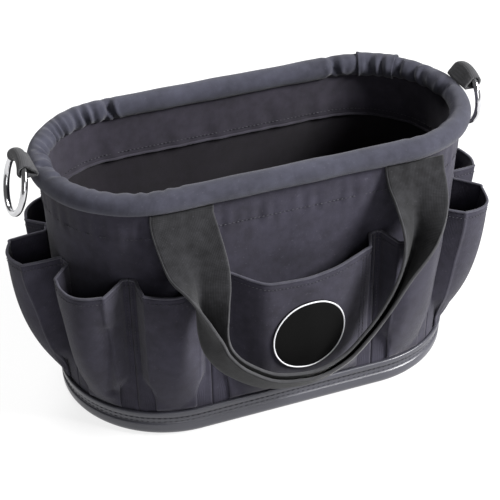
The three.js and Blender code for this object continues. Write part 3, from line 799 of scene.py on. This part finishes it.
def pocket_surface(name, start, kind, seed):
    """Share, height, stand-off and place along the face for each point of a pocket's grid."""
    form = dict(FORMS[kind])
    form["full"] *= FLATTER.get(name, 1.0)
    width = form["share"] * WALL_LENGTH
    rises = np.concatenate([np.linspace(0, 0.04, 5)[:-1], np.linspace(0.04, 1.0, 44)])
    along, off = pocket_rows(form, width, rises)
    middle = np.minimum(along, width - along) / (width / 2)
    top = POCKET_HEIGHT * (1 - form["dip"] * np.sin(np.clip(middle, 0, 1) * math.pi / 2))
    height = POCKET_FOOT + (top - POCKET_FOOT) * rises[:, None]
    face = smooth(np.minimum(along, width - along), PLEAT, PLEAT + 0.012)
    amount = 0.0004 if kind == "centre" else 0.0011
    uneven = ripple(along, height * 0.25, seed, [0.045, 0.027, 0.07], amount)
    off = off + face * smooth(rises, 0.05, 0.3)[:, None] * uneven
    for first, last, depth, reach in CREASES.get(name, []):
        first, last = np.array(first), np.array(last)
        here = np.stack([along, height], -1) - first
        line = last - first
        part = np.clip(here @ line / line.dot(line), 0.0, 1.0)
        away = np.linalg.norm(here - part[..., None] * line, axis=-1)
        off = off - np.minimum(depth, 0.55 * np.maximum(off, 0.0)) * np.exp(-(away / reach) ** 2)
    below = np.linspace(0.007, POCKET_FOOT - 0.0008, FOOT_ROWS)[:, None]
    along = np.concatenate([np.repeat(along[:1], FOOT_ROWS, 0), along])
    off = np.concatenate([np.zeros((FOOT_ROWS, off.shape[1])), off])
    height = np.concatenate([np.repeat(below, height.shape[1], 1), height])
    share = start + along / width * form["share"]
    return share, height, off, along - width / 2


pockets = {}
start = -FORMS["centre"]["share"] / 2
for number, (name, kind) in enumerate(ROUND):
    share, height, off, along = pocket_surface(name, start, kind, 40 + number)
    grid = wall_point(share, height, POCKET_OFFSET + off)
    pockets[name] = (grid, start, kind)
    if name == "pocket_front":
        front_face = (along, height, off)
    piece = cloth_piece(name + "_canvas", grid, POCKET_THICKNESS)
    dress(piece, "tote", [name], canvas)
    start += FORMS[kind]["share"]
print("pockets:", len(pockets))

# %% [markdown]
# The pockets' top edges are bound with a narrow rolled strip of a much paler canvas, a painted
# highlight for the thin pale line along that edge, and a stitch row runs below it. Two stitch
# rows run down each divider, and two more down one side of the centre pockets. The facing's
# lower edge is a thicker hem.

# %% Bind and stitch the pockets
POCKET_SEAM = dict(pitch=0.0032, length=0.0023, width=0.0006, thread=thread)
ON_POCKET, DIVIDER_SPACING = 0.0007, 0.0024

bindings, hems, dividers = [], [], []
for name, (grid, start, kind) in pockets.items():
    upward = grid[-1] - grid[-2]
    facing_out = unit(np.cross(np.gradient(grid[-1], axis=0), upward))
    bindings.append((grid[-1] - 0.0002 * unit(upward), outward(grid[-1], facing_out), False))
    below = grid[-3]
    hems.append((below + facing_out * ON_POCKET, outward(below, facing_out), False))
    if kind == "centre":
        for column in (-EDGE_COLUMNS - 1, -EDGE_COLUMNS - 2):
            seam = grid[14:-3, column]
            away = np.array([0.3, math.copysign(1.0, seam[0, 1]), 0.0])
            hems.append((seam + away * 0.0006, outward(seam, away), False))
    for edge, side in ((start, 1), (start + FORMS[kind]["share"], -1)):
        share = edge + side * DIVIDER_SPACING / WALL_LENGTH
        heights = np.linspace(0.085, 0.1555, 24)
        points = wall_point(share, heights, POCKET_OFFSET + ON_POCKET)
        towards = wall_point(share, heights, POCKET_OFFSET + 0.002) - points
        dividers.append((points, outward(points, towards), False))

# The bindings' pale canvas is a painted highlight along the pockets' top edges.
trim("pocket_bindings", "canvas", bindings, edge_tree, width=0.0026, height=0.0020, cloth=binding_painted_highlight)
trim("pocket_hem_stitches", "canvas", hems, stitch_tree, **POCKET_SEAM)
trim("divider_stitches", "canvas", dividers, stitch_tree, **POCKET_SEAM)

wall_row = round_path(WALL_STITCHES, WALL_CLOTH / 2 + 0.0001, 600)
facing_row = round_path(FACING_STITCHES, -WALL_CLOTH / 2 - GAP - FACING_CLOTH - 0.0009, 600)
facing_row = (facing_row[0], -facing_row[1], True)
trim("wall_stitches", "canvas", [wall_row, facing_row], stitch_tree,
     pitch=0.0036, length=0.0026, width=0.0007, thread=thread)
hem_in = wall_point(turn_shares[0], FACING_HEM, -0.01) - wall_point(turn_shares[0], FACING_HEM, 0.0)
hem_edge = (facing_grid[0] + 0.05 * hem_in, outward(facing_grid[0], hem_in), True)
trim("facing_hem", "canvas", [hem_edge], edge_tree, width=0.0036, height=0.0024, cloth=hem_canvas)

# %% [markdown]
# ## The handles
#
# Each handle is one length of webbing. Flat where it is sewn under the rim, it folds
# lengthwise towards the grip, with the fold line next to the pockets and both selvedges
# outwards and up. Its shape follows a table of stations: across, up and out as shares, then
# the angle by which its halves open and the angle by which they lean, in degrees. A smooth
# curve runs through the stations. The fold itself is round, within a short reach of its line.

# %% Fold the handles
WEB_WIDTH, WEB_CLOTH, WEB_THICKNESS, FOLD_REACH = 0.0508, 0.0025, 0.0024, 0.0036
LEG_SPACING, HANDLE_SHIFT, GRIP_HEIGHT, HANDLE_GAP = 0.200, 0.0069, 0.0480, 0.0013
STRAP_TOP = RIM_HEIGHT - ROLL_RADIUS
SEAT = WALL_CLOTH / 2 + GAP + WEB_CLOTH / 2
FACE = POCKET_OFFSET + POCKET_CLOTH / 2 + FORMS["centre"]["full"] * POCKET_DEPTH
CLEAR = FACE + HANDLE_GAP + WEB_CLOTH / 2
HANDLE_ROUTE = np.array([
    (-1.000, 1.000, 0.00, 90, 0), (-1.000, 0.930, 0.10, 90, 0), (-0.955, 0.720, 0.55, 70, 4),
    (-0.975, 0.580, 0.82, 30, 20), (-0.985, 0.430, 0.95, 5, 36), (-0.930, 0.300, 1.00, 1, 44),
    (-0.760, 0.165, 1.00, 1, 48), (-0.450, 0.040, 1.00, 1, 49), (-0.040, 0.000, 1.00, 1, 49),
    (0.290, 0.066, 1.00, 1, 48), (0.530, 0.200, 1.00, 1, 46), (0.700, 0.345, 1.00, 2, 42),
    (0.830, 0.510, 0.92, 7, 32), (0.925, 0.660, 0.70, 30, 16), (0.985, 0.820, 0.32, 66, 4),
    (1.000, 0.930, 0.10, 88, 0), (1.000, 1.000, 0.00, 90, 0),
])


def through(points, t):
    """A smooth curve through the points, and its direction, at shares t of its way."""
    count = len(points)
    padded = with_ends(points)
    place = np.clip(np.asarray(t) * (count - 1), 0, count - 1)
    first = np.minimum(place.astype(int), count - 2)
    value, slope = between(*(padded[first + k] for k in range(4)), (place - first)[:, None], 0.5)
    return value, slope / np.maximum(np.linalg.norm(slope, axis=-1, keepdims=True), 1e-12)


def handle_grid(side, stations=150, half_columns=14):
    """The webbing of one handle: rows along it, and columns from selvedge to selvedge."""
    height = GRIP_HEIGHT + (STRAP_TOP - GRIP_HEIGHT) * HANDLE_ROUTE[:, 1]
    seat = BASE[1] + (TOP[1] - BASE[1]) * height / RIM_HEIGHT
    route = np.stack([
        HANDLE_SHIFT + HANDLE_ROUTE[:, 0] * LEG_SPACING / 2,
        side * (seat + SEAT + (CLEAR - SEAT) * HANDLE_ROUTE[:, 2]),
        height,
    ], -1)
    t = np.linspace(0, 1, stations)
    places, alongs = through(route, t)
    turns, _ = through(HANDLE_ROUTE[:, 3:], t)
    out = np.array([0.0, side, 0.0])
    rows = []
    for place, along, (opened, lean) in zip(places, alongs, np.radians(turns)):
        inwards = unit(np.array([-along[2], 0.0, along[0]]))
        level = unit(out - along * out.dot(along))
        mouth = level * math.cos(lean) + inwards * math.sin(lean)
        spread = unit(np.cross(along, mouth))
        step = WEB_WIDTH / 2 / half_columns
        halves = []
        for hand in (-1, 1):
            points, reach = [place], 0.0
            for _ in range(half_columns):
                folded = 1 - min(1.0, (reach + step / 2) / FOLD_REACH)
                angle = opened + (math.pi / 2 - opened) * folded
                towards = mouth * math.cos(angle) + hand * spread * math.sin(angle)
                points.append(points[-1] + step * towards)
                reach += step
            halves.append(points)
        rows.append(halves[0][:0:-1] + halves[1])
    return np.array(rows)


selvedges = []
for name, side in (("front", -1), ("back", 1)):
    grid = handle_grid(side)
    strap = cloth_piece("handle_webbing_" + name, grid, WEB_THICKNESS)
    dress(strap, "tote", ["handle_" + name], webbing)
    for edge, inner in ((0, 1), (-1, -2)):
        away = grid[:, edge] - grid[:, inner]
        selvedges.append((grid[:, edge], outward(grid[:, edge], away), False))
# The selvedges take the paler tab webbing, a painted highlight along the handles' edges.
trim("handle_selvedges", "webbing", selvedges, edge_tree, width=0.0016, height=0.0027, cloth=tab_webbing_selvedge_highlight)

# %% [markdown]
# ## The rings and their tabs
#
# A short loop of webbing is sewn down on the rim at each end and holds a welded wire ring. Its
# section is a pear: a small round where its two ends meet on the roll, a large one round the
# wire, and straight sides between them. The wire is bent, so the loop droops with it like a
# saddle. The ring swings in it on its own body, while the loop is built in place round it and
# rides on no body.

# %% Loop the tabs and bend the rings
RING_RADIUS, RING_WIRE = 0.0236, 0.0054
TAB_WIDTH, TAB_CLOTH, TAB_LENGTH, TAB_PLAY, FOOT_ROUND = 0.030, 0.0021, 0.0134, 0.0004, 0.0013
TAB_SLANT, TAB_SPREAD = math.radians(47.3), math.radians(80)
# From the roll's middle out to the wire's middle, and from there back to the loop's foot.
TAB_WAY = np.array([math.cos(TAB_SLANT), math.sin(TAB_SLANT)])
RING_PLACE = np.array([TOP[0], RIM_HEIGHT]) + (ROLL_RADIUS + TAB_LENGTH) * TAB_WAY
TAB_FOOT = -(TAB_LENGTH - TAB_CLOTH) * TAB_WAY
BLEND_PAST = 0.15
RING_SWINGS = {"left": math.radians(14.7), "right": 0.0}


def wire_ring(name, side, swing):
    """A round wire bent into a ring that hangs from its top, swung outwards."""
    turn = 2 * math.pi * np.arange(96) / 96
    around = 2 * math.pi * np.arange(20) / 20
    reach = (RING_RADIUS + RING_WIRE / 2 * np.cos(around))[None, :]
    beside = RING_WIRE / 2 * np.sin(around)[None, :]
    below = RING_RADIUS - reach * np.cos(turn)[:, None]
    outwards = below * math.sin(swing) + beside * math.cos(swing)
    height = -below * math.cos(swing) + beside * math.sin(swing)
    across = reach * np.sin(turn)[:, None]
    grid = np.stack([side * (RING_PLACE[0] + outwards), across, RING_PLACE[1] + height], -1)
    if side > 0:
        grid = grid[:, ::-1]
    return cloth_piece("wire_ring_" + name, grid, 0.0, wrap=True, close=True)


def tab_loop(name, side, swing):
    """The pear-shaped loop: each point of its section lies on the round that reaches furthest."""
    angle = np.linspace(0, 2 * math.pi, 57)[:-1][None, :]
    towards = np.stack([np.sin(angle), -np.cos(angle)], -1)
    columns = np.sin(np.linspace(-1, 1, 21) * TAB_SPREAD)[:, None]
    across = TAB_WIDTH / 2 * columns / math.sin(TAB_SPREAD)
    slope = np.arcsin(across / RING_RADIUS)
    sag = RING_RADIUS * (1 - np.cos(slope))
    wire = sag[..., None] * np.array([math.sin(swing), -math.cos(swing)])
    wire = wire + towards * (RING_WIRE / 2 / np.cos(slope) + TAB_PLAY + TAB_CLOTH / 2)[..., None]
    foot = TAB_FOOT + towards * FOOT_ROUND
    nearer = (foot * towards).sum(-1, keepdims=True) > (wire * towards).sum(-1, keepdims=True)
    place = RING_PLACE + np.where(nearer, foot, wire)
    y = np.broadcast_to(across, place.shape[:2])
    grid = np.stack([side * place[..., 0], y, place[..., 1]], -1)
    if side > 0:
        grid = grid[::-1]
    return cloth_piece("ring_tab_webbing_" + name, grid, TAB_CLOTH, wrap=True)


for name, side in (("left", -1), ("right", 1)):
    swing = RING_SWINGS[name]
    dress(wire_ring(name, side, swing), "ring_" + name, ["end_ring_" + name], ring_metal)
    loop = tab_loop(name, side, swing)
    dress(loop, None, ["ring_tab_" + name], tab_webbing_selvedge_highlight)
    start, end = RING_PLACE + TAB_FOOT, RING_PLACE - TAB_FOOT * BLEND_PAST
    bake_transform(loop)

# %% [markdown]
# ## The round patch
#
# A black embroidered disc with a pale border is sewn to the centre pocket and follows its
# face. It is left bare.

# %% Sew on the patch
PATCH_RADIUS, PATCH_HEIGHT, PATCH_SHIFT, PATCH_LIFT = 0.033, 0.0915, 0.004, 0.0021
PATCH_TURN = 72
PATCH_RADII = [PATCH_RADIUS, 0.0328, 0.0312, 0.026, 0.019, 0.012, 0.006, 0.0001]
PATCH_LIFTS = [0.0009, 0.0019, 0.0022] + [PATCH_LIFT] * 5
BORDER_RADIUS, BORDER_LIFT = 0.0322, 0.0022


def on_front_pocket(across, height, stand_off):
    """A point of the front pocket's face at a place along it and a height, off its own rows."""
    rows, skipped = slice(FOOT_ROWS + 1, None), EDGE_COLUMNS + 4
    alongs, heights, offs = (grid[rows, skipped:-skipped] for grid in front_face)
    levels = [np.interp(across, *row) for row in zip(alongs, heights)]
    faces = [np.interp(across, *row) for row in zip(alongs, offs)]
    off = np.interp(height, levels, faces)
    return wall_point(across / WALL_LENGTH, height, POCKET_OFFSET + off + stand_off)


def patch_ring(radius, lift):
    """A round of points on the pocket, at one radius of the patch."""
    turn = 2 * math.pi * np.arange(PATCH_TURN) / PATCH_TURN
    places = zip(PATCH_SHIFT + radius * np.cos(turn), PATCH_HEIGHT + radius * np.sin(turn))
    return [on_front_pocket(across, height, lift) for across, height in places]


disc = [patch_ring(radius, lift) for radius, lift in zip(PATCH_RADII, PATCH_LIFTS)]
patch = cloth_piece("patch_disc", disc, 0.0, wrap=True)
dress(patch, "tote", ["round_patch"], patch_black)
border_path = (patch_ring(BORDER_RADIUS, BORDER_LIFT), np.tile([0.0, -1.0, 0.0], (PATCH_TURN, 1)), True)
trim("patch_border", "patch", [border_path], edge_tree, width=0.0011, height=0.0013, cloth=pale_thread)

# %% [markdown]
# ## The studio
#
# A glowing pale floor gives the white surround. The key light stands high at the right front,
# a weak one fills in from the front, and a third comes over the back rim. The left end falls
# into shade, as in the photograph.

# %% Light the studio
FLOOR_REACH, FLOOR_LEVEL = 8, -0.0003
SQUARE = ((-1, -1), (1, -1), (1, 1), (-1, 1))
corners = [(x * FLOOR_REACH, y * FLOOR_REACH, FLOOR_LEVEL) for x, y in SQUARE]
floor_mesh = bpy.data.meshes.new("floor")
floor_mesh.from_pydata(corners, [], [(0, 1, 2, 3)])
floor = new_object("floor", floor_mesh)
floor_paint, floor_tree, floor_shader = new_material("floor_paint")
connect(floor_tree, floor_shader, [
    ("Base Color", (0.20, 0.20, 0.20)),
    ("Roughness", 0.9),
    ("Emission Color", (1.0, 1.0, 1.0)),
    ("Emission Strength", 0.80),
])
floor.data.materials.append(floor_paint)

bpy.context.scene.view_settings.view_transform = "Standard"
world = bpy.data.worlds.new("studio")
bpy.context.scene.world = world
world.use_nodes = True
surround = world.node_tree.nodes["Background"]
connect(world.node_tree, surround, [("Color", (1.0, 1.0, 1.0)), ("Strength", 0.14)])


def area_light(name, place, target, size, power):
    """A square soft light that faces its target."""
    light = bpy.data.lights.new(name, "AREA")
    light.size = size
    light.energy = power
    lamp = new_object(name, light)
    lamp.location = place
    lamp.rotation_euler = (Vector(target) - Vector(place)).to_track_quat("-Z", "Y").to_euler()


area_light("key", (1.84, -1.38, 1.78), (0.0, 0, 0.08), 1.0, 216)
area_light("fill", (-0.2, -2.5, 1.1), (0, 0, 0.1), 1.4, 18)
area_light("back", (-0.3, 1.2, 2.1), (0, 0, 0.1), 1.2, 46)
